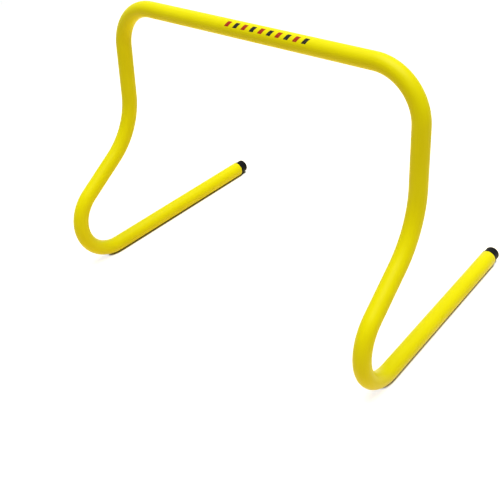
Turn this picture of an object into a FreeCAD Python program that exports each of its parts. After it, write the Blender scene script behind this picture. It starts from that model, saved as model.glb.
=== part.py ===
import FreeCAD, Part
import math
import os
from enum import IntEnum, auto

import Sketcher
from FreeCAD import Placement, Rotation, Vector

# Training hurdle bent from one plastic tube, with a push-in plug in the end of each foot.
# Millimetres and degrees, +Z up, +X along the crossbar, +Y back along the feet.
# The origin lies on the floor, in the middle of the hurdle's footprint.

# The tube is given by its bend table: straight runs, bend radii and angles, from crossbar to foot.
SIZES = {
    "tube_diameter": 19.0,
    "tube_wall": 2.0,
    "crossbar_run": 309.0,
    "corner_radius": 54.0,
    "upright_run": 63.0,
    "upright_lean": 6.0,
    "knee_radius": 96.0,
    "shank_run": 56.0,
    "shank_slope": 33.5,
    "toe_radius": 48.0,
    "foot_run": 226.0,
    "toe_in": 2.5,
    "plug_flange_thickness": 1.8,
    "plug_ledge": 1.0,
    "plug_head_length": 10.6,
    "plug_head_rounding": 2.0,
    "plug_wall": 1.8,
    "plug_clearance": 0.2,
    "plug_lead": 2.6,
    "fin_height": 0.8,
    "fin_thickness": 1.0,
    "fin_pitch": 3.6,
    "fin_setback": 2.0,
    "fin_count": 5,
}

# What follows from those sizes. Each leg is bent in one upright plane, turned by the toe-in:
# "back" is measured in that plane from where the foot run meets the toe bend, "rise" from the floor.
DERIVED = {
    "tube_radius": "tube_diameter / 2",
    "bore_radius": "tube_radius - tube_wall",
    "shank_back": "-toe_radius * sin(shank_slope)",
    "shank_rise": "tube_radius + toe_radius * (1 + cos(shank_slope))",
    "knee_back": "shank_back + shank_run * cos(shank_slope)",
    "knee_rise": "shank_rise + shank_run * sin(shank_slope)",
    "upright_back": "knee_back + knee_radius * (cos(upright_lean) - sin(shank_slope))",
    "upright_rise": "knee_rise + knee_radius * (cos(shank_slope) - sin(upright_lean))",
    "corner_turn": "90 - asin(sin(upright_lean) * sin(toe_in)) / 1 deg",
    "corner_reach": "corner_radius * tan(corner_turn / 2)",
    "crossbar_back": "upright_back + (upright_run + corner_reach) * sin(upright_lean)",
    "crossbar_rise": "upright_rise + (upright_run + corner_reach) * cos(upright_lean)",
    "arch_tilt": "atan(tan(upright_lean) * cos(toe_in)) / 1 deg",
    "leg_offset": "crossbar_run / 2 + corner_reach + crossbar_back * sin(toe_in)",
    "leg_setback": "crossbar_back * cos(toe_in)",
    "plug_reach": "plug_flange_thickness + plug_head_length",
    "plug_head_radius": "tube_radius - plug_ledge",
    "front_y": "-leg_setback - toe_radius * cos(toe_in) - tube_radius",
    "rim_back": "foot_run + plug_reach - plug_head_rounding",
    "rim_radius": "plug_head_radius - plug_head_rounding",
    "rear_y": "rim_back * cos(toe_in) + rim_radius * sin(toe_in) + plug_head_rounding - leg_setback",
    "crossbar_y": "-(front_y + rear_y) / 2",
    "foot_end_x": "leg_offset - foot_run * sin(toe_in)",
    "foot_end_y": "crossbar_y + foot_run * cos(toe_in) - leg_setback",
    "fin_radius": "bore_radius - plug_clearance",
    "fin_start": "fin_setback + fin_thickness",
    "fin_span": "fin_pitch * (fin_count - 1)",
    "plug_shank_radius": "fin_radius - fin_height",
    "plug_shank_length": "fin_start + fin_span + plug_lead",
    "plug_core_radius": "plug_shank_radius - plug_wall",
    "plug_core_depth": "plug_shank_length + plug_reach - plug_wall",
}

LEFT, RIGHT = -1, 1
SIDE_NAMES = {LEFT: "left", RIGHT: "right"}

QUARTER = math.pi / 2
NORMAL = Vector(0, 0, 1)


class Point(IntEnum):
    """How a sketch numbers the points of an edge, from 1."""

    START = auto()
    END = auto()
    CENTRE = auto()


class Fixed:
    """How a sketch numbers its own origin, as edge and point, and its own axes."""

    ORIGIN = (-1, Point.START)
    X_AXIS = -1
    Y_AXIS = X_AXIS - 1


def fill_sheet(document):
    """Writes every size, and the formulas that follow from them, into a sheet."""
    new_sheet = document.addObject("Spreadsheet::Sheet", "Sizes")
    cells = {name: str(value) for name, value in SIZES.items()}
    cells.update({name: "=" + formula for name, formula in DERIVED.items()})
    for row, (name, content) in enumerate(cells.items(), start=1):
        new_sheet.set(f"A{row}", name)
        new_sheet.set(f"B{row}", content)
        new_sheet.setAlias(f"B{row}", name)
    document.recompute()
    return new_sheet


def size(name):
    """The present value of a size."""
    return float(sheet.get(name))


def angle(name):
    """The present value of an angle, in radians."""
    return math.radians(size(name))


def add_body(label):
    """A new sub-part; its label names its file."""
    body = doc.addObject("PartDesign::Body", label)
    body.Label = label
    return body


def origin_feature(body, role):
    """One of the planes or axes of a body's own origin."""
    return next(feature for feature in body.Origin.OriginFeatures if feature.Role == role)


def add_sketch(body, name, plane, turn_axis=NORMAL):
    """An empty sketch on one of the body's origin planes, whose offset turns about turn_axis."""
    sketch = body.newObject("Sketcher::SketchObject", name)
    sketch.AttachmentSupport = (origin_feature(body, plane), "")
    sketch.MapMode = "FlatFace"
    sketch.AttachmentOffset = Placement(Vector(), Rotation(turn_axis, 0))
    return sketch


def dimension(sketch, kind, where, formula):
    """A driving dimension of a sketch, tied to the sheet."""
    value = float(sketch.evalExpression(formula))
    if kind == "Angle":
        value = math.radians(value)
    index = sketch.addConstraint(Sketcher.Constraint(kind, *where, value))
    sketch.setExpression(f"Constraints[{index}]", formula)


def join_smoothly(sketch, *joints):
    """Edges that meet end to end and run on without a corner; a joint is (edge, end, edge, end)."""
    for joint in joints:
        sketch.addConstraint(Sketcher.Constraint("Tangent", *joint))


def arc(centre, radius, first, last):
    """An arc anticlockwise from the angle first to the angle last, in radians."""
    return Part.ArcOfCircle(Part.Circle(centre, NORMAL, radius), first, last)


def leg_path(body, side):
    """Foot, toe bend, shank, knee bend and upright of one leg, in its own upright plane."""
    sketch = add_sketch(body, SIDE_NAMES[side] + "_leg_path", "YZ_Plane", Vector(0, side, 0))
    sketch.setExpression("AttachmentOffset.Base.x", "-Sizes.leg_setback")
    sketch.setExpression("AttachmentOffset.Base.z", f"{side} * Sizes.leg_offset")
    sketch.setExpression("AttachmentOffset.Rotation.Angle", "Sizes.toe_in")

    slope, lean = angle("shank_slope"), angle("upright_lean")
    foot_start = Vector(0, size("tube_radius"), 0)
    foot_end = foot_start + Vector(size("foot_run"), 0, 0)
    toe_centre = foot_start + Vector(0, size("toe_radius"), 0)
    shank_start = Vector(size("shank_back"), size("shank_rise"), 0)
    knee_start = Vector(size("knee_back"), size("knee_rise"), 0)
    knee_centre = knee_start + Vector(-math.sin(slope), math.cos(slope), 0) * size("knee_radius")
    upright_start = Vector(size("upright_back"), size("upright_rise"), 0)
    upright_end = upright_start + Vector(math.sin(lean), math.cos(lean), 0) * size("upright_run")

    foot = sketch.addGeometry(Part.LineSegment(foot_start, foot_end))
    toe = sketch.addGeometry(arc(toe_centre, size("toe_radius"), QUARTER + slope, 3 * QUARTER))
    shank = sketch.addGeometry(Part.LineSegment(shank_start, knee_start))
    knee = sketch.addGeometry(arc(knee_centre, size("knee_radius"), slope - QUARTER, -lean))
    upright = sketch.addGeometry(Part.LineSegment(upright_start, upright_end))

    join_smoothly(
        sketch,
        (foot, Point.START, toe, Point.END),
        (toe, Point.START, shank, Point.START),
        (shank, Point.END, knee, Point.START),
        (knee, Point.END, upright, Point.START),
    )
    sketch.addConstraint(Sketcher.Constraint("Horizontal", foot))
    sketch.addConstraint(Sketcher.Constraint("PointOnObject", foot, Point.START, Fixed.Y_AXIS))
    dimension(sketch, "DistanceY", (*Fixed.ORIGIN, foot, Point.START), "Sizes.tube_radius")
    dimension(sketch, "Distance", (foot,), "Sizes.foot_run")
    dimension(sketch, "Radius", (toe,), "Sizes.toe_radius")
    dimension(sketch, "Distance", (shank,), "Sizes.shank_run")
    dimension(sketch, "Angle", (shank,), "Sizes.shank_slope * 1 deg")
    dimension(sketch, "Radius", (knee,), "Sizes.knee_radius")
    dimension(sketch, "Distance", (upright,), "Sizes.upright_run")
    dimension(sketch, "Angle", (upright,), "(90 - Sizes.upright_lean) * 1 deg")
    return sketch


def arch_path(body):
    """Crossbar and its two corner bends, in the plane that leans back with the uprights."""
    sketch = add_sketch(body, "arch_path", "XZ_Plane", Vector(-1, 0, 0))
    sketch.setExpression("AttachmentOffset.Base.y", "Sizes.crossbar_rise")
    sketch.setExpression("AttachmentOffset.Rotation.Angle", "Sizes.arch_tilt")

    radius, turn = size("corner_radius"), angle("corner_turn")
    half_bar = Vector(size("crossbar_run") / 2, 0, 0)
    drop = Vector(0, -radius, 0)
    bar = sketch.addGeometry(Part.LineSegment(-half_bar, half_bar))
    left = sketch.addGeometry(arc(drop - half_bar, radius, QUARTER, QUARTER + turn))
    right = sketch.addGeometry(arc(drop + half_bar, radius, QUARTER - turn, QUARTER))

    join_smoothly(sketch, (bar, Point.START, left, Point.START), (bar, Point.END, right, Point.END))
    sketch.addConstraint(Sketcher.Constraint("Symmetric", bar, Point.START, bar, Point.END, *Fixed.ORIGIN))
    sketch.addConstraint(Sketcher.Constraint("PointOnObject", bar, Point.START, Fixed.X_AXIS))
    dimension(sketch, "Distance", (bar,), "Sizes.crossbar_run")
    for bend in (left, right):
        dimension(sketch, "Radius", (bend,), "Sizes.corner_radius")
        dimension(sketch, "Angle", (bend,), "Sizes.corner_turn * 1 deg")
    return sketch


def tube_section(body):
    """The tube's wall, cut across the middle of the crossbar."""
    sketch = add_sketch(body, "tube_section", "YZ_Plane")
    centre = Vector(0, size("crossbar_rise"), 0)
    for radius in ("tube_radius", "bore_radius"):
        ring = sketch.addGeometry(Part.Circle(centre, NORMAL, size(radius)))
        sketch.addConstraint(Sketcher.Constraint("PointOnObject", ring, Point.CENTRE, Fixed.Y_AXIS))
        dimension(sketch, "DistanceY", (*Fixed.ORIGIN, ring, Point.CENTRE), "Sizes.crossbar_rise")
        dimension(sketch, "Radius", (ring,), f"Sizes.{radius}")
    return sketch


def bent_tube():
    """The whole frame: one hollow tube bent from foot to crossbar to foot."""
    body = add_body("bent_tube")
    paths = [leg_path(body, LEFT), arch_path(body), leg_path(body, RIGHT)]
    section = tube_section(body)
    route = body.newObject("PartDesign::SubShapeBinder", "tube_route")
    route.Support = [(path, "") for path in paths]
    doc.recompute()
    tube = body.newObject("PartDesign::AdditivePipe", "tube")
    tube.Profile = section
    tube.Spine = (route, [f"Edge{number}" for number, _ in enumerate(route.Shape.Edges, start=1)])
    body.Tip = tube
    body.setExpression("Placement.Base.y", "Sizes.crossbar_y")
    return body


def round_outline(body, name, radius, start):
    """A circle about the body's Y axis, at the distance start behind the tube's cut end."""
    sketch = add_sketch(body, name, "XZ_Plane")
    sketch.setExpression("AttachmentOffset.Base.z", f"-({start})")
    rim = sketch.addGeometry(Part.Circle(Vector(), NORMAL, float(sketch.evalExpression(radius))))
    sketch.addConstraint(Sketcher.Constraint("Coincident", rim, Point.CENTRE, *Fixed.ORIGIN))
    dimension(sketch, "Radius", (rim,), radius)
    return sketch


def add_disc(body, name, radius, start, length):
    """A round disc about the body's Y axis, reaching back from start."""
    pad = body.newObject("PartDesign::Pad", name)
    pad.Profile = round_outline(body, name + "_outline", radius, start)
    pad.Reversed = True
    pad.setExpression("Length", length)
    body.Tip = pad
    return pad


def rim_name(shape, radius, y):
    """The name of the round edge of that radius, about the Y axis, at that distance along it."""
    for number, edge in enumerate(shape.Edges, start=1):
        curve = edge.Curve
        if not isinstance(curve, Part.Circle):
            continue
        if math.isclose(curve.Radius, radius) and math.isclose(curve.Center.y, y):
            return f"Edge{number}"
    raise RuntimeError(f"no rim of radius {radius} at {y}")


def foot_plug(side):
    """Push-in plug: a flange on the tube's cut end, a narrower head, and a hollow finned shank in the bore."""
    body = add_body(SIDE_NAMES[side] + "_foot_plug")
    add_disc(body, "flange", "Sizes.tube_radius", "0", "Sizes.plug_flange_thickness")
    add_disc(body, "head", "Sizes.plug_head_radius", "Sizes.plug_flange_thickness", "Sizes.plug_head_length")
    add_disc(body, "shank", "Sizes.plug_shank_radius", "-Sizes.plug_shank_length", "Sizes.plug_shank_length")
    fin = add_disc(body, "fin", "Sizes.fin_radius", "-Sizes.fin_start", "Sizes.fin_thickness")

    fins = body.newObject("PartDesign::LinearPattern", "fins")
    fins.Originals = [fin]
    fins.Direction = (origin_feature(body, "Y_Axis"), [""])
    fins.Reversed = True
    fins.setExpression("Length", "Sizes.fin_span")
    fins.setExpression("Occurrences", "Sizes.fin_count")
    body.Tip = fins

    core = body.newObject("PartDesign::Pocket", "core")
    core.Profile = round_outline(body, "core_outline", "Sizes.plug_core_radius", "-Sizes.plug_shank_length")
    core.setExpression("Length", "Sizes.plug_core_depth")
    body.Tip = core
    doc.recompute()

    rounding = body.newObject("PartDesign::Fillet", "head_rounding")
    rounding.Base = (core, [rim_name(core.Shape, size("plug_head_radius"), size("plug_reach"))])
    rounding.setExpression("Radius", "Sizes.plug_head_rounding")
    body.Tip = rounding

    body.Placement = Placement(Vector(), Rotation(Vector(0, 0, side), 0))
    body.setExpression("Placement.Base.x", f"{side} * Sizes.foot_end_x")
    body.setExpression("Placement.Base.y", "Sizes.foot_end_y")
    body.setExpression("Placement.Base.z", "Sizes.tube_radius")
    body.setExpression("Placement.Rotation.Angle", "Sizes.toe_in")
    return body


def check(document, bodies):
    """Stops with a message if any object failed or any sub-part isn't one sound solid."""
    for item in document.Objects:
        if "Invalid" in item.State or "Error" in item.State:
            raise RuntimeError(f"{item.Name} failed: {item.State}")
    for body in bodies:
        if body.Shape.isNull() or not body.Shape.isValid() or len(body.Shape.Solids) != 1:
            raise RuntimeError(f"{body.Label} is not one sound solid")


def write(bodies):
    """Writes each sub-part to its own file."""
    os.makedirs("parts", exist_ok=True)
    for body in bodies:
        body.Shape.exportStep(f"parts/{body.Label}.step")
        box = body.Shape.optimalBoundingBox()
        print(f"{body.Label}: {body.Shape.Volume / 1000:.2f} cm3, {box}")


doc = FreeCAD.newDocument("training_hurdle")
sheet = fill_sheet(doc)
sub_parts = [bent_tube(), foot_plug(LEFT), foot_plug(RIGHT)]
doc.recompute()
check(doc, sub_parts)
write(sub_parts)
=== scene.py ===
"""Looks of a training hurdle: one bent yellow tube with a black plug in the end of each foot."""

import logging
import math
from dataclasses import dataclass
from enum import Enum
from typing import ClassVar

import bpy
from mathutils import Matrix, Vector


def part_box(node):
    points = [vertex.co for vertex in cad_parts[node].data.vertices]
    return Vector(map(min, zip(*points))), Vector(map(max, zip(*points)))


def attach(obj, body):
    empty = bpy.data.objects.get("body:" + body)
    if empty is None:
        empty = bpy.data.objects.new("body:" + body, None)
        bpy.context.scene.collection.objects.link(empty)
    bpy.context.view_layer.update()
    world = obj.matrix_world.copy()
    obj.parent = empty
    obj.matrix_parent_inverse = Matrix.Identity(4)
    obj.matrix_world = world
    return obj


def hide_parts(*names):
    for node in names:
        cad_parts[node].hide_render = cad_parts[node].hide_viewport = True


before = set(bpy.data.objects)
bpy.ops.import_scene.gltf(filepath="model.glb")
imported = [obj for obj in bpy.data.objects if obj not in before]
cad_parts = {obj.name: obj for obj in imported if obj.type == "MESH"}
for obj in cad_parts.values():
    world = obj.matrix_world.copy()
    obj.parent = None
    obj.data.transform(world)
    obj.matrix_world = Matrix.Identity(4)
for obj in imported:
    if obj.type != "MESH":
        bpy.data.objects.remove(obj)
log = logging.getLogger("hurdle")

Colour = tuple[float, float, float, float]
Output = bpy.types.NodeSocket
Source = Output | float | tuple[float, ...]

MILLIMETRE = 0.001
UP = Vector((0.0, 0.0, 1.0))
RIGHTWARDS = Vector((1.0, 0.0, 0.0))
WHITE: Colour = (1.0, 1.0, 1.0, 1.0)
NO_BEND = 0.0
# A point is on a ring if it is this near to it.
TOUCHING = 0.02 * MILLIMETRE
# Edges that turn by less than this are shaded smooth.
SMOOTH_BELOW = math.radians(40.0)
ROUND_MAP = "along_and_around"


class Side(Enum):
    """A leg of the hurdle; the value is the sign of its x."""

    LEFT = -1
    RIGHT = 1


class Surface(Enum):
    """The shader inputs that a finish sets, by the names that Blender gives them."""

    COLOUR = "Base Color"
    ROUGHNESS = "Roughness"
    GLOSS = "Specular IOR Level"
    RELIEF = "Normal"
    LIFT_COLOUR = "Emission Color"
    LIFT = "Emission Strength"


class Sum(Enum):
    """The sums that the patterns need, by the names that Blender gives them."""

    PLUS = "ADD"
    MINUS = "SUBTRACT"
    TIMES = "MULTIPLY"
    TIMES_PLUS = "MULTIPLY_ADD"
    OVER = "DIVIDE"
    WHOLE = "FLOOR"
    SIZE = "ABSOLUTE"
    LARGER = "MAXIMUM"
    ABOVE = "GREATER_THAN"
    BELOW = "LESS_THAN"
    TO_AND_FRO = "PINGPONG"
    ANGLE = "ARCTAN2"
    COSINE = "COSINE"
    SINE = "SINE"


@dataclass(frozen=True)
class Span:
    """A range of numbers, by its two ends."""

    start: float
    end: float


RISING = Span(0.0, 1.0)
FALLING = Span(1.0, 0.0)


@dataclass(frozen=True)
class Grain:
    """A noise pattern: its features per metre, its finer octaves, and its scale along the third axis."""

    scale: float
    detail: float = 2.0
    along: float = 1.0


class NodeSheet:
    """The nodes of one material or of the world, added by short calls."""

    def __init__(self, owner: bpy.types.Material | bpy.types.World) -> None:
        """Opens the nodes of a material or world."""
        owner.use_nodes = True
        self.tree = owner.node_tree

    def add(self, kind: str, **settings: object) -> bpy.types.Node:
        """Adds a node.

        Args:
            kind: The node's type name, without its ShaderNode prefix.
            settings: Properties of the node and their values.

        Returns:
            The new node.
        """
        node = self.tree.nodes.new("ShaderNode" + kind)
        for name, value in settings.items():
            setattr(node, name, value)
        return node

    def feed(self, target: bpy.types.NodeSocket, source: Source) -> None:
        """Links an output to an input, or sets a plain value on the input.

        Args:
            target: The input.
            source: An output, or a value that the input takes.
        """
        if isinstance(source, bpy.types.NodeSocket):
            self.tree.links.new(source, target)
        else:
            target.default_value = source

    def surface(self, target: Surface, source: Source) -> None:
        """Feeds one of the main shader's inputs."""
        self.feed(self.tree.nodes["Principled BSDF"].inputs[target.value], source)

    def sum(self, kind: Sum, *values: Source) -> Output:
        """Adds a sum.

        Args:
            kind: What the sum does.
            values: Outputs or numbers, in the order of the node's inputs.

        Returns:
            The result.
        """
        node = self.add("Math", operation=kind.value)
        for target, value in zip(node.inputs, values):
            self.feed(target, value)
        return node.outputs["Value"]

    def product(self, first: Output, *others: Source) -> Output:
        """Multiplies outputs and numbers.

        Args:
            first: The first factor.
            others: What it is multiplied by.

        Returns:
            The product.
        """
        result = first
        for other in others:
            result = self.sum(Sum.TIMES, result, other)
        return result

    def remap(self, value: Output, span: Span, onto: Span = RISING) -> Output:
        """Maps a range smoothly onto another and holds it at the ends.

        Args:
            value: What is mapped.
            span: The range that it is mapped from.
            onto: The range that it is mapped onto.

        Returns:
            The mapped value.
        """
        node = self.add("MapRange", interpolation_type="SMOOTHSTEP")
        for target, source in zip(node.inputs, (value, span.start, span.end, onto.start, onto.end)):
            self.feed(target, source)
        return node.outputs["Result"]

    def noise(self, place: Output, grain: Grain) -> Output:
        """Adds a noise pattern.

        Args:
            place: The coordinates that it follows.
            grain: How fine it is, and how it is scaled along the third axis.

        Returns:
            Its value, from 0 to 1.
        """
        drawn = self.add("Mapping")
        self.feed(drawn.inputs["Vector"], place)
        self.feed(drawn.inputs["Scale"], (1.0, 1.0, grain.along))
        node = self.add("TexNoise")
        self.feed(node.inputs["Vector"], drawn.outputs["Vector"])
        self.feed(node.inputs["Scale"], grain.scale)
        self.feed(node.inputs["Detail"], grain.detail)
        return node.outputs["Fac"]

    def blend(self, share: Output, first: Source, second: Source) -> Output:
        """Mixes two colours.

        Args:
            share: How much of the second shows, from 0 to 1.
            first: The colour at 0.
            second: The colour at 1.

        Returns:
            The mixed colour.
        """
        node = self.add("Mix", data_type="RGBA")
        inputs = {socket.identifier: socket for socket in node.inputs}
        for name, source in (("Factor_Float", share), ("A_Color", first), ("B_Color", second)):
            self.feed(inputs[name], source)
        return next(socket for socket in node.outputs if socket.identifier == "Result_Color")

    def relief(self, height: Output, depth: float, under: Output | None = None) -> Output:
        """Turns a height into a relief.

        Args:
            height: The height, from 0 to 1.
            depth: How far 1 stands out, in metres.
            under: A relief that this one is laid over.

        Returns:
            The relief, for a shader's normal.
        """
        node = self.add("Bump")
        self.feed(node.inputs["Height"], height)
        self.feed(node.inputs["Distance"], depth)
        if under is not None:
            self.feed(node.inputs["Normal"], under)
        return node.outputs["Normal"]

    def axes(self, place: Output) -> list[Output]:
        """Takes a coordinate apart.

        Args:
            place: The coordinate.

        Returns:
            Its three numbers.
        """
        node = self.add("SeparateXYZ")
        self.feed(node.inputs["Vector"], place)
        return list(node.outputs)

    def place(self) -> Output:
        """The place of a point in the model's frame."""
        return self.add("TexCoord").outputs["Object"]

    def unrolled(self, radius: float) -> Output:
        """The place of a point on a round skin that is straightened along its third axis.

        Args:
            radius: The radius that the straightened skin has.

        Returns:
            The coordinates, in metres.
        """
        along, turn, _ = self.axes(self.add("UVMap", uv_map=ROUND_MAP).outputs["UV"])
        angle = self.product(turn, math.tau)
        node = self.add("CombineXYZ")
        self.feed(node.inputs["X"], self.product(self.sum(Sum.COSINE, angle), radius))
        self.feed(node.inputs["Y"], self.product(self.sum(Sum.SINE, angle), radius))
        self.feed(node.inputs["Z"], along)
        return node.outputs["Vector"]

    def background_ray(self) -> Output:
        """Tells where a backdrop is seen, straight or by way of a gloss, from where it only lights.

        Returns:
            1 where it is seen, and 0 where it only lights.
        """
        rays = self.add("LightPath").outputs
        shiny = self.sum(Sum.LARGER, rays["Is Glossy Ray"], rays["Is Transmission Ray"])
        return self.sum(Sum.LARGER, rays["Is Camera Ray"], shiny)


@dataclass(frozen=True)
class StripePrint:
    """A plain row of slanted stripes, printed on the upper front of the crossbar.

    Sizes are in metres, and facing is in degrees above the level front. The share is the inked part of
    the pitch, and the slant is how far a stripe leans sideways for its height.
    """

    HALFWAY: ClassVar[float] = 0.5

    count: int = 10
    pitch: float = 11.5 * MILLIMETRE
    share: float = 0.5
    height: float = 7.0 * MILLIMETRE
    slant: float = 0.45
    middle_x: float = 25.0 * MILLIMETRE
    facing: float = 52.0
    edge: float = 0.25 * MILLIMETRE
    red: Colour = (0.42, 0.035, 0.012, 1.0)
    black: Colour = (0.02, 0.017, 0.012, 1.0)
    pinholes: Grain = Grain(scale=1800.0, detail=3.0)
    pinhole_span: Span = Span(0.27, 0.33)

    def ink(self, sheet: NodeSheet, axis: Vector, radius: float) -> tuple[Output, Output]:
        """Draws the stripes.

        Args:
            sheet: The material's nodes.
            axis: A point on the crossbar's axis.
            radius: The crossbar's radius.

        Returns:
            How much ink covers the tube, from 0 to 1, and the ink's colour.
        """
        place = sheet.place()
        x, y, z = sheet.axes(place)
        front = sheet.sum(Sum.MINUS, axis.y, y)
        rise = sheet.sum(Sum.MINUS, z, axis.z)
        turn = sheet.sum(Sum.MINUS, sheet.sum(Sum.ANGLE, rise, front), math.radians(self.facing))
        above = sheet.product(turn, radius)
        start = self.middle_x - self.pitch * (self.count - 1 + self.share) / 2
        along = sheet.sum(Sum.MINUS, sheet.sum(Sum.TIMES_PLUS, above, -self.slant, x), start)
        number = sheet.sum(Sum.WHOLE, sheet.sum(Sum.OVER, along, self.pitch))
        within = sheet.sum(Sum.TIMES_PLUS, number, -self.pitch, along)

        half_width = self.pitch * self.share / 2
        stripe = self.inside(sheet, sheet.sum(Sum.MINUS, within, half_width), half_width)
        row = self.inside(sheet, above, self.height / 2)
        # Stripe numbers are whole, so they are compared with numbers halfway between.
        begun = sheet.sum(Sum.ABOVE, number, -self.HALFWAY)
        unended = sheet.sum(Sum.BELOW, number, self.count - self.HALFWAY)
        unbroken = sheet.remap(sheet.noise(place, self.pinholes), self.pinhole_span)
        cover = sheet.product(stripe, row, begun, unended, unbroken)
        every_other = sheet.sum(Sum.TO_AND_FRO, number, 1.0)
        return cover, sheet.blend(every_other, self.red, self.black)

    def inside(self, sheet: NodeSheet, distance: Output, half: float) -> Output:
        """Is 1 where a distance is under half a stripe's width or height and 0 beyond, with a soft edge."""
        return sheet.remap(sheet.sum(Sum.SIZE, distance), Span(half - self.edge, half), FALLING)


@dataclass(frozen=True)
class TubeFinish:
    """Satin yellow extruded plastic, with lines from the die, cloudy gloss and scuffs at the floor."""

    name: str = "yellow_skin"
    colour: Colour = (0.92, 0.845, 0.0, 1.0)
    deep_colour: Colour = (0.88, 0.795, 0.0, 1.0)
    tone_span: Span = Span(0.7, 1.3)
    lines: Grain = Grain(scale=1400.0, detail=3.0, along=0.01)
    line_depth: float = 0.012 * MILLIMETRE
    line_roughness: float = 0.06
    clouds: Grain = Grain(scale=28.0, detail=4.0)
    cloud_span: Span = Span(0.3, 0.7)
    cloud_roughness: Span = Span(0.34, 0.42)
    peel: Grain = Grain(scale=900.0)
    peel_depth: float = 0.01 * MILLIMETRE
    scuff_colour: Colour = (0.50, 0.42, 0.12, 1.0)
    scuff_height: float = 2.5 * MILLIMETRE
    scuff_depth: float = 0.03 * MILLIMETRE
    scuff_roughness: float = 0.3
    scrapes: Grain = Grain(scale=700.0, detail=5.0, along=0.12)
    scrape_span: Span = Span(0.45, 0.62)
    scrape_cover: Span = Span(0.0, 0.9)
    ink_roughness: float = 0.08
    gloss: float = 0.12
    stripes: StripePrint = StripePrint()

    def material(self, radius: float, crossbar: Vector) -> bpy.types.Material:
        """Makes the material.

        Args:
            radius: The tube's radius.
            crossbar: A point on the crossbar's axis.

        Returns:
            The material.
        """
        material = bpy.data.materials.new(self.name)
        sheet = NodeSheet(material)
        skin = sheet.unrolled(radius)
        lines = sheet.noise(skin, self.lines)
        clouds = sheet.noise(skin, self.clouds)
        scuffs = self.wear(sheet, skin)
        ink, ink_colour = self.stripes.ink(sheet, crossbar, radius)

        tone = sheet.remap(sheet.sum(Sum.PLUS, lines, clouds), self.tone_span)
        yellow = sheet.blend(tone, self.colour, self.deep_colour)
        worn = sheet.blend(scuffs, yellow, self.scuff_colour)
        sheet.surface(Surface.COLOUR, sheet.blend(ink, worn, ink_colour))

        satin = sheet.remap(clouds, self.cloud_span, self.cloud_roughness)
        satin = sheet.sum(Sum.TIMES_PLUS, lines, self.line_roughness, satin)
        satin = sheet.sum(Sum.TIMES_PLUS, scuffs, self.scuff_roughness, satin)
        satin = sheet.sum(Sum.TIMES_PLUS, ink, self.ink_roughness, satin)
        sheet.surface(Surface.ROUGHNESS, satin)
        sheet.surface(Surface.GLOSS, self.gloss)

        relief = sheet.relief(lines, self.line_depth)
        relief = sheet.relief(sheet.noise(skin, self.peel), self.peel_depth, relief)
        relief = sheet.relief(scuffs, -self.scuff_depth, relief)
        sheet.surface(Surface.RELIEF, relief)
        return material

    def wear(self, sheet: NodeSheet, skin: Output) -> Output:
        """Draws the scuffs, drawn out along the tube where it all but touches the floor.

        Args:
            sheet: The material's nodes.
            skin: The place on the straightened tube.

        Returns:
            How much is scuffed, from 0 to 1.
        """
        _, _, height = sheet.axes(sheet.place())
        low = sheet.remap(height, Span(0.0, self.scuff_height), FALLING)
        scrapes = sheet.noise(skin, self.scrapes)
        return sheet.product(low, sheet.remap(scrapes, self.scrape_span, self.scrape_cover))


@dataclass(frozen=True)
class BoreFinish:
    """The tube's inside and its sawn ends: the same plastic, paler and dull."""

    name: str = "yellow_bore"
    colour: Colour = (0.86, 0.74, 0.05, 1.0)
    sawn_colour: Colour = (0.92, 0.83, 0.16, 1.0)
    fibres: Grain = Grain(scale=2200.0, detail=3.0, along=0.05)
    fibre_depth: float = 0.03 * MILLIMETRE
    tone_span: Span = Span(0.35, 0.65)
    dull_span: Span = Span(0.3, 0.7)
    roughness: Span = Span(0.55, 0.7)
    gloss: float = 0.15

    def material(self, radius: float) -> bpy.types.Material:
        """Makes the material.

        Args:
            radius: The tube's radius.

        Returns:
            The material.
        """
        material = bpy.data.materials.new(self.name)
        sheet = NodeSheet(material)
        fibres = sheet.noise(sheet.unrolled(radius), self.fibres)
        tone = sheet.remap(fibres, self.tone_span)
        sheet.surface(Surface.COLOUR, sheet.blend(tone, self.colour, self.sawn_colour))
        sheet.surface(Surface.ROUGHNESS, sheet.remap(fibres, self.dull_span, self.roughness))
        sheet.surface(Surface.GLOSS, self.gloss)
        sheet.surface(Surface.RELIEF, sheet.relief(fibres, self.fibre_depth))
        return material


@dataclass(frozen=True)
class PlugFinish:
    """Satin black moulded plastic, a little rubbed."""

    name: str = "black_plug"
    colour: Colour = (0.004, 0.004, 0.004, 1.0)
    rubbed_colour: Colour = (0.010, 0.010, 0.010, 1.0)
    clouds: Grain = Grain(scale=180.0, detail=4.0)
    rubbed_span: Span = Span(0.5, 0.75)
    satin_span: Span = Span(0.3, 0.7)
    roughness: Span = Span(0.42, 0.56)
    texture: Grain = Grain(scale=3500.0)
    texture_depth: float = 0.02 * MILLIMETRE
    gloss: float = 0.06

    def material(self) -> bpy.types.Material:
        """Makes the material.

        Returns:
            The material.
        """
        material = bpy.data.materials.new(self.name)
        sheet = NodeSheet(material)
        place = sheet.place()
        clouds = sheet.noise(place, self.clouds)
        rubbed = sheet.remap(clouds, self.rubbed_span)
        sheet.surface(Surface.COLOUR, sheet.blend(rubbed, self.colour, self.rubbed_colour))
        sheet.surface(Surface.ROUGHNESS, sheet.remap(clouds, self.satin_span, self.roughness))
        sheet.surface(Surface.GLOSS, self.gloss)
        sheet.surface(Surface.RELIEF, sheet.relief(sheet.noise(place, self.texture), self.texture_depth))
        return material


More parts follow.
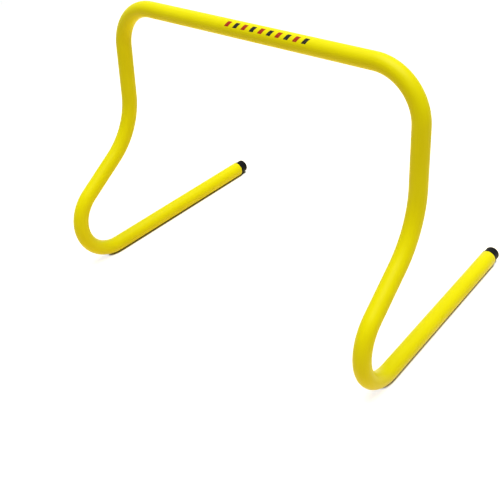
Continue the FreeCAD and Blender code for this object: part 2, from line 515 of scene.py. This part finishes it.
@dataclass(frozen=True)
class FloorFinish:
    """Warm pale floor, seen lifted to white, with a painted shadow, dark and unlifted, where something all
    but touches it.
    """

    name: str = "pale_floor"
    colour: Colour = (0.97, 0.78, 0.45, 1.0)
    # The colour of the painted shadow where something all but touches the floor, and how near that is.
    painted_shadow_colour: Colour = (0.45, 0.42, 0.14, 1.0)
    painted_shadow_reach: float = 4.0 * MILLIMETRE
    painted_shadow_span: Span = Span(0.42, 0.82)
    roughness: float = 0.9
    gloss: float = 0.0
    lift_colour: Colour = (0.80, 0.885, 1.0, 1.0)
    lift: float = 0.8

    def material(self) -> bpy.types.Material:
        """Makes the material.

        Returns:
            The material.
        """
        material = bpy.data.materials.new(self.name)
        sheet = NodeSheet(material)
        # Painted contact shadow: where ambient occlusion finds something near, the floor turns to the
        # painted shadow colour and loses its lift.
        contact = sheet.add("AmbientOcclusion")
        sheet.feed(contact.inputs["Distance"], self.painted_shadow_reach)
        outside_painted_shadow = sheet.remap(contact.outputs["AO"], self.painted_shadow_span)
        sheet.surface(Surface.COLOUR, sheet.blend(outside_painted_shadow, self.painted_shadow_colour, self.colour))
        sheet.surface(Surface.ROUGHNESS, self.roughness)
        sheet.surface(Surface.GLOSS, self.gloss)
        sheet.surface(Surface.LIFT_COLOUR, self.lift_colour)
        sheet.surface(Surface.LIFT, sheet.product(sheet.background_ray(), outside_painted_shadow, self.lift))
        return material


@dataclass(frozen=True)
class Rounding:
    """How an edge is rounded: the rounding's width, and how many faces it gets."""

    width: float
    segments: int


@dataclass(frozen=True)
class Ring:
    """A ring of points around an axis, so far along the axis from its start and so far out."""

    start: Vector
    way: Vector
    along: float
    radius: float

    def holds(self, point: Vector) -> bool:
        """Tells whether a point is on the ring.

        Args:
            point: The point.

        Returns:
            True if it is.
        """
        offset = point - self.start
        distance = offset.dot(self.way)
        out = (offset - self.way * distance).length
        return abs(distance - self.along) < TOUCHING and abs(out - self.radius) < TOUCHING

    def round_off(self, piece: bpy.types.Object, rounding: Rounding) -> None:
        """Rounds the edges of a piece that lie on the ring.

        Args:
            piece: The piece, which is the active object.
            rounding: How they are rounded.
        """
        bpy.ops.object.mode_set(mode="EDIT")
        bpy.ops.mesh.select_mode(type="EDGE")
        bpy.ops.mesh.select_all(action="DESELECT")
        bpy.ops.object.mode_set(mode="OBJECT")
        points = piece.data.vertices
        for edge in piece.data.edges:
            edge.select = all(self.holds(points[index].co) for index in edge.vertices)
        bpy.ops.object.mode_set(mode="EDIT")
        bpy.ops.mesh.bevel(offset=rounding.width, segments=rounding.segments, affect="EDGES")
        bpy.ops.object.mode_set(mode="OBJECT")


@dataclass(frozen=True)
class Run:
    """A straight stretch of tube and the bend that follows it."""

    way: Vector
    length: float
    bend_radius: float


@dataclass(frozen=True)
class BendTable:
    """Runs, bend radii and angles of the tube, in metres and degrees, as the solids have them."""

    NODE: ClassVar[str] = "bent_tube"

    tube_radius: float = 9.5 * MILLIMETRE
    tube_wall: float = 2.0 * MILLIMETRE
    crossbar_run: float = 309.0 * MILLIMETRE
    corner_radius: float = 54.0 * MILLIMETRE
    upright_run: float = 63.0 * MILLIMETRE
    upright_lean: float = 6.0
    knee_radius: float = 96.0 * MILLIMETRE
    shank_run: float = 56.0 * MILLIMETRE
    shank_slope: float = 33.5
    toe_radius: float = 48.0 * MILLIMETRE
    foot_run: float = 226.0 * MILLIMETRE
    toe_in: float = 2.5

    def leg(self, side: Side) -> list[Vector]:
        """The ways of a leg's straight runs, from the crossbar down.

        Args:
            side: Which leg.

        Returns:
            The ways of upright, shank and foot.
        """
        turn = math.radians(self.toe_in)
        lean = math.radians(self.upright_lean)
        slope = math.radians(self.shank_slope)
        back = Vector((-side.value * math.sin(turn), math.cos(turn), 0.0))
        upright = back * -math.sin(lean) - UP * math.cos(lean)
        shank = back * -math.cos(slope) - UP * math.sin(slope)
        return [upright, shank, back]

    def route(self) -> list[Run]:
        """The tube's runs, from the end of the left foot to the end of the right one.

        Returns:
            The runs in order.
        """
        lengths = (self.upright_run, self.shank_run, self.foot_run)
        bends_above = (self.corner_radius, self.knee_radius, self.toe_radius)
        bends_below = (self.knee_radius, self.toe_radius, NO_BEND)
        left = [Run(-way, *sizes) for way, *sizes in zip(self.leg(Side.LEFT), lengths, bends_above)]
        crossbar = Run(RIGHTWARDS, self.crossbar_run, self.corner_radius)
        right = [Run(way, *sizes) for way, *sizes in zip(self.leg(Side.RIGHT), lengths, bends_below)]
        return [*reversed(left), crossbar, *right]

    def reach(self, runs: list[Run]) -> Vector:
        """The way from the start of some runs to their end.

        Args:
            runs: Runs that follow one another; the bend after the last one isn't counted.

        Returns:
            The sum of the runs and the bends between them.
        """
        total = sum((run.way * run.length for run in runs), Vector())
        for run, after in zip(runs, runs[1:]):
            total += (run.way + after.way) * (run.bend_radius * math.tan(run.way.angle(after.way) / 2))
        return total

    def foot_end(self, side: Side) -> Vector:
        """The middle of a foot's cut end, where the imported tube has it.

        Args:
            side: Which foot.

        Returns:
            The place, on the tube's axis.
        """
        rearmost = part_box(self.NODE)[1].y
        y = rearmost - self.tube_radius * math.sin(math.radians(self.toe_in))
        return Vector((side.value * self.reach(self.route()).x / 2, y, self.tube_radius))

    def foot_ring(self, side: Side, along: float, radius: float) -> Ring:
        """A ring around a foot's axis, so far beyond the foot's cut end."""
        return Ring(self.foot_end(side), self.leg(side)[-1], along, radius)

    def crossbar_end(self) -> Vector:
        """The left end of the crossbar's straight run.

        Returns:
            The place, on the tube's axis.
        """
        runs = self.route()
        middle = len(runs) // 2
        right_end = self.foot_end(Side.LEFT) + self.reach(runs[: middle + 1])
        return right_end - runs[middle].way * self.crossbar_run


class RoundSkin:
    """A skin drawn out ring by ring from one ring of points, with a map along and around it."""

    TURN: ClassVar[str] = "turn"
    HALF_TURN: ClassVar[float] = 0.5
    QUAD: ClassVar[int] = 4

    def __init__(self, name: str, sides: int, radius: float, place: Vector, way: Vector) -> None:
        """Lays the first ring.

        Args:
            name: The piece's name.
            sides: How many points each ring has.
            radius: The first ring's radius.
            place: Its middle.
            way: The way that the skin goes on from there.
        """
        self.sides = sides
        self.radius = radius
        self.place = place.copy()
        self.way = way.normalized()
        self.distances = [0.0]
        bpy.ops.object.select_all(action="DESELECT")
        turn = self.way.to_track_quat("Z", "Y").to_euler()
        bpy.ops.mesh.primitive_circle_add(vertices=sides, radius=radius, location=place, rotation=turn)
        bpy.ops.object.transform_apply(location=True, rotation=True, scale=True)
        self.piece = bpy.context.object
        self.piece.name = self.piece.data.name = name
        turns = self.piece.data.attributes.new(self.TURN, "FLOAT", "POINT")
        turns.data.foreach_set("value", [step / sides for step in range(sides)])
        bpy.ops.object.mode_set(mode="EDIT")
        bpy.ops.mesh.select_mode(type="EDGE")
        bpy.ops.mesh.select_all(action="SELECT")

    def go(self, length: float, radius: float | None = None) -> None:
        """Draws the last ring straight on, and wider or narrower if told.

        Args:
            length: How far, or 0 for a flat step.
            radius: The new ring's radius.
        """
        move = self.way * length
        bpy.ops.mesh.extrude_region_move(TRANSFORM_OT_translate={"value": move})
        self.place += move
        widening = 0.0
        if radius is not None:
            widening = radius - self.radius
            bpy.ops.transform.resize(value=[radius / self.radius] * 3, center_override=self.place)
            self.radius = radius
        self.distances.append(self.distances[-1] + math.hypot(length, widening))

    def bend(self, way: Vector, radius: float, step: float) -> None:
        """Draws the last ring round a bend.

        Args:
            way: The way to go on after it.
            radius: The bend's radius at the tube's axis.
            step: The angle between rings, at most.
        """
        angle = self.way.angle(way)
        axis = self.way.cross(way).normalized()
        centre = self.place + axis.cross(self.way) * radius
        steps = math.ceil(angle / step)
        bpy.ops.mesh.spin(steps=steps, angle=-angle, center=centre, axis=axis)
        start = self.distances[-1]
        self.distances += [start + radius * angle * (number + 1) / steps for number in range(steps)]
        self.way = way.normalized()
        self.place = centre + self.way.cross(axis) * radius

    def close(self) -> None:
        """Closes the last ring and then the first one with a face."""
        bpy.ops.mesh.edge_face_add()
        bpy.ops.mesh.select_all(action="DESELECT")
        bpy.ops.mesh.select_non_manifold()
        bpy.ops.mesh.edge_face_add()

    def finish(self) -> bpy.types.Object:
        """Turns the faces outwards and lays the map.

        Returns:
            The piece.
        """
        bpy.ops.mesh.select_all(action="SELECT")
        bpy.ops.mesh.normals_make_consistent(inside=False)
        bpy.ops.object.mode_set(mode="OBJECT")
        self.lay_map()
        return self.piece

    def lay_map(self) -> None:
        """Gives each face's corners their distance along the skin and their share of a turn around it."""
        mesh = self.piece.data
        turns = mesh.attributes[self.TURN].data
        layer = mesh.uv_layers.new(name=ROUND_MAP)
        for face in mesh.polygons:
            corners = [mesh.loops[index].vertex_index for index in face.loop_indices]
            around = [turns[corner].value for corner in corners]
            wraps = len(corners) == self.QUAD and max(around) - min(around) > self.HALF_TURN
            for index, corner, turn in zip(face.loop_indices, corners, around):
                whole = 1.0 if wraps and turn < self.HALF_TURN else 0.0
                layer.uv[index].vector = (self.distances[corner // self.sides], turn + whole)


def seat(piece: bpy.types.Object, node: str) -> None:
    """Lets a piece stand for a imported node.

    Args:
        piece: The piece.
        node: The node that it replaces.
    """
    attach(piece, "root")
    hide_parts(node)
    log.info("%s: %d faces", piece.name, len(piece.data.polygons))


@dataclass
class BentTube:
    """The frame of the hurdle: one hollow tube from foot to crossbar to foot."""

    INWARDS: ClassVar[float] = -1.0
    BORE_AFTER_SKIN: ClassVar[int] = 1

    table: BendTable = BendTable()
    skin_finish: TubeFinish = TubeFinish()
    bore_finish: BoreFinish = BoreFinish()
    sides: int = 64
    bend_step: float = math.radians(3.0)
    run_step: float = 20.0 * MILLIMETRE
    edge_rounding: Rounding = Rounding(width=0.35 * MILLIMETRE, segments=2)

    def build(self) -> None:
        """Models the tube, dresses it and seats it on the frame."""
        piece = self.draw()
        self.dress(piece)
        self.thicken(piece)
        for side in Side:
            self.table.foot_ring(side, 0.0, self.table.tube_radius).round_off(piece, self.edge_rounding)
        bpy.ops.object.shade_smooth_by_angle(angle=SMOOTH_BELOW)
        seat(piece, BendTable.NODE)

    def draw(self) -> bpy.types.Object:
        """Draws the tube's outer skin along its runs and bends.

        Returns:
            The skin.
        """
        runs = self.table.route()
        start = self.table.foot_end(Side.LEFT)
        skin = RoundSkin("yellow_tube", self.sides, self.table.tube_radius, start, runs[0].way)
        for run, after in zip(runs, [*runs[1:], None]):
            steps = math.ceil(run.length / self.run_step)
            for _ in range(steps):
                skin.go(run.length / steps)
            if after:
                skin.bend(after.way, run.bend_radius, self.bend_step)
        return skin.finish()

    def dress(self, piece: bpy.types.Object) -> None:
        """Gives the tube the finishes of its skin and its bore.

        Args:
            piece: The tube's outer skin.
        """
        radius = self.table.tube_radius
        piece.data.materials.append(self.skin_finish.material(radius, self.table.crossbar_end()))
        piece.data.materials.append(self.bore_finish.material(radius))

    def thicken(self, piece: bpy.types.Object) -> None:
        """Gives the skin its wall, with the bore's finish inside and on the cut ends.

        Args:
            piece: The tube's outer skin.
        """
        wall = piece.modifiers.new("wall", "SOLIDIFY")
        wall.thickness = self.table.tube_wall
        wall.offset = self.INWARDS
        wall.material_offset = self.BORE_AFTER_SKIN
        wall.material_offset_rim = self.BORE_AFTER_SKIN
        bpy.ops.object.modifier_apply(modifier=wall.name)


@dataclass
class FootPlugs:
    """The push-in plugs in the ends of the feet."""

    table: BendTable = BendTable()
    finish: PlugFinish = PlugFinish()
    sides: int = 64
    flange_thickness: float = 1.8 * MILLIMETRE
    flange_rounding: Rounding = Rounding(width=0.35 * MILLIMETRE, segments=3)
    ledge: float = 1.0 * MILLIMETRE
    head_length: float = 10.6 * MILLIMETRE
    head_rounding: Rounding = Rounding(width=2.0 * MILLIMETRE, segments=8)
    dish_radius: float = 5.0 * MILLIMETRE
    dish_depth: float = 0.3 * MILLIMETRE
    gate_radius: float = 1.1 * MILLIMETRE
    gate_height: float = 0.2 * MILLIMETRE
    gate_taper: float = 0.85
    wall: float = 1.8 * MILLIMETRE
    clearance: float = 0.2 * MILLIMETRE
    fin_height: float = 0.8 * MILLIMETRE
    fin_thickness: float = 1.0 * MILLIMETRE
    fin_pitch: float = 3.6 * MILLIMETRE
    fin_setback: float = 2.0 * MILLIMETRE
    fin_count: int = 5
    lead: float = 2.6 * MILLIMETRE

    @property
    def fin_radius(self) -> float:
        """The fins' radius, clear of the bore."""
        return self.table.tube_radius - self.table.tube_wall - self.clearance

    @property
    def shank_radius(self) -> float:
        """The shank's radius, between the fins."""
        return self.fin_radius - self.fin_height

    @property
    def shank_length(self) -> float:
        """How far the plug reaches into the tube."""
        fins = self.fin_pitch * (self.fin_count - 1) + self.fin_thickness
        return self.fin_setback + fins + self.lead

    @property
    def head_radius(self) -> float:
        """The head's radius, inside the flange."""
        return self.table.tube_radius - self.ledge

    @property
    def reach(self) -> float:
        """How far the plug stands out of the tube."""
        return self.flange_thickness + self.head_length

    def build(self) -> None:
        """Models the right plug, copies it to the left foot, and dresses and seats both."""
        material = self.finish.material()
        right = self.model()
        right.data.materials.append(material)
        left = self.copy_left(right)
        for side, piece in ((Side.RIGHT, right), (Side.LEFT, left)):
            seat(piece, side.name.lower() + "_foot_plug")

    def model(self) -> bpy.types.Object:
        """Models the right foot's plug, from the bottom of its hollow out and round to its face.

        Returns:
            The plug.
        """
        start, way = self.table.foot_end(Side.RIGHT), self.table.leg(Side.RIGHT)[-1]
        hollow_radius = self.shank_radius - self.wall
        hollow_end = self.reach - self.wall
        skin = RoundSkin("right_plug", self.sides, hollow_radius, start + way * hollow_end, way)
        skin.go(-hollow_end - self.shank_length)
        self.draw_shank(skin)
        self.draw_head(skin)
        skin.close()
        piece = skin.finish()
        self.round_edges(piece)
        bpy.ops.object.shade_smooth_by_angle(angle=SMOOTH_BELOW)
        return piece

    def draw_shank(self, skin: RoundSkin) -> None:
        """Draws the shank and its fins, from the open end of the hollow back to the flange.

        Args:
            skin: The plug's skin so far.
        """
        gap = self.fin_pitch - self.fin_thickness
        skin.go(0.0, self.shank_radius)
        skin.go(self.lead)
        for bare in [gap] * (self.fin_count - 1) + [self.fin_setback]:
            skin.go(0.0, self.fin_radius)
            skin.go(self.fin_thickness)
            skin.go(0.0, self.shank_radius)
            skin.go(bare)

    def draw_head(self, skin: RoundSkin) -> None:
        """Draws the flange, the head and its dished face, with the mark of the mould's gate in the middle.

        Args:
            skin: The plug's skin so far.
        """
        skin.go(0.0, self.table.tube_radius)
        skin.go(self.flange_thickness)
        skin.go(0.0, self.head_radius)
        skin.go(self.head_length)
        skin.go(0.0, self.dish_radius)
        skin.go(-self.dish_depth, self.dish_radius - self.dish_depth)
        skin.go(0.0, self.gate_radius)
        skin.go(self.gate_height, self.gate_radius * self.gate_taper)

    def round_edges(self, piece: bpy.types.Object) -> None:
        """Rounds the head's rim, the step between head and flange, and the flange's two edges.

        Args:
            piece: The right plug.
        """
        rim, flange = self.table.tube_radius, self.flange_thickness
        self.table.foot_ring(Side.RIGHT, self.reach, self.head_radius).round_off(piece, self.head_rounding)
        for along, radius in ((flange, self.head_radius), (0.0, rim), (flange, rim)):
            self.table.foot_ring(Side.RIGHT, along, radius).round_off(piece, self.flange_rounding)

    def copy_left(self, right: bpy.types.Object) -> bpy.types.Object:
        """Copies the right plug to the left foot, turned by the angle between the feet.

        Args:
            right: The right plug.

        Returns:
            The left plug, with its own mesh.
        """
        left = right.copy()
        left.data = right.data.copy()
        left.name = left.data.name = "left_plug"
        bpy.context.scene.collection.objects.link(left)
        turn = Matrix.Rotation(-2 * math.radians(self.table.toe_in), 4, "Z")
        to_left = Matrix.Translation(self.table.foot_end(Side.LEFT))
        to_right = Matrix.Translation(self.table.foot_end(Side.RIGHT))
        left.matrix_world = to_left @ turn @ to_right.inverted()
        bpy.ops.object.select_all(action="DESELECT")
        left.select_set(True)
        bpy.context.view_layer.objects.active = left
        bpy.ops.object.transform_apply(location=True, rotation=True, scale=True)
        return left


@dataclass
class Studio:
    """Floor, light and camera, in metres, watts and degrees, with the lens in millimetres."""

    floor_size: float = 2.4
    floor_finish: FloorFinish = FloorFinish()
    sky_strength: float = 0.18
    key_place: tuple[float, float, float] = (0.5, 0.1, 6.0)
    key_size: float = 5.0
    key_power: float = 402.0
    camera_place: tuple[float, float, float] = (0.60328, -0.65277, 0.66245)
    camera_turn: tuple[float, float, float] = (57.5924, 6.1436, 41.0922)
    camera_lens: float = 64.014
    camera_rise: float = -0.1

    def build(self) -> None:
        """Sets up the studio."""
        self.lay_floor()
        self.hang_lamp()
        self.light_room()
        self.set_camera()
        bpy.context.scene.view_settings.view_transform = "Standard"

    def lay_floor(self) -> None:
        """Lays a plain pale floor."""
        bpy.ops.object.select_all(action="DESELECT")
        bpy.ops.mesh.primitive_plane_add(size=self.floor_size)
        floor = bpy.context.object
        floor.name = "floor"
        floor.data.materials.append(self.floor_finish.material())

    def hang_lamp(self) -> None:
        """Hangs a wide soft lamp overhead."""
        lamp = bpy.data.lights.new("overhead", "AREA")
        lamp.size = self.key_size
        lamp.energy = self.key_power
        holder = bpy.data.objects.new("overhead", lamp)
        holder.location = self.key_place
        bpy.context.scene.collection.objects.link(holder)

    def light_room(self) -> None:
        """Lights a pale room that looks white."""
        world = bpy.data.worlds.new("room")
        bpy.context.scene.world = world
        sheet = NodeSheet(world)
        room = sheet.tree.nodes["Background"]
        sheet.feed(room.inputs["Color"], WHITE)
        lift = 1.0 - self.sky_strength
        strength = sheet.sum(Sum.TIMES_PLUS, sheet.background_ray(), lift, self.sky_strength)
        sheet.feed(room.inputs["Strength"], strength)

    def set_camera(self) -> None:
        """Puts the camera where the photograph was taken from."""
        camera = bpy.data.cameras.new("camera")
        camera.lens = self.camera_lens
        camera.shift_y = self.camera_rise
        holder = bpy.data.objects.new("camera", camera)
        holder.location = self.camera_place
        holder.rotation_euler = [math.radians(angle) for angle in self.camera_turn]
        bpy.context.scene.collection.objects.link(holder)
        bpy.context.scene.camera = holder


def main() -> None:
    """Builds and dresses every piece."""
    logging.basicConfig(level=logging.INFO, format="%(name)s: %(message)s")
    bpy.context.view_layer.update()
    log.info("%d packed nodes", len(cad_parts))
    BentTube().build()
    FootPlugs().build()
    Studio().build()


if __name__ == "__main__":
    main()
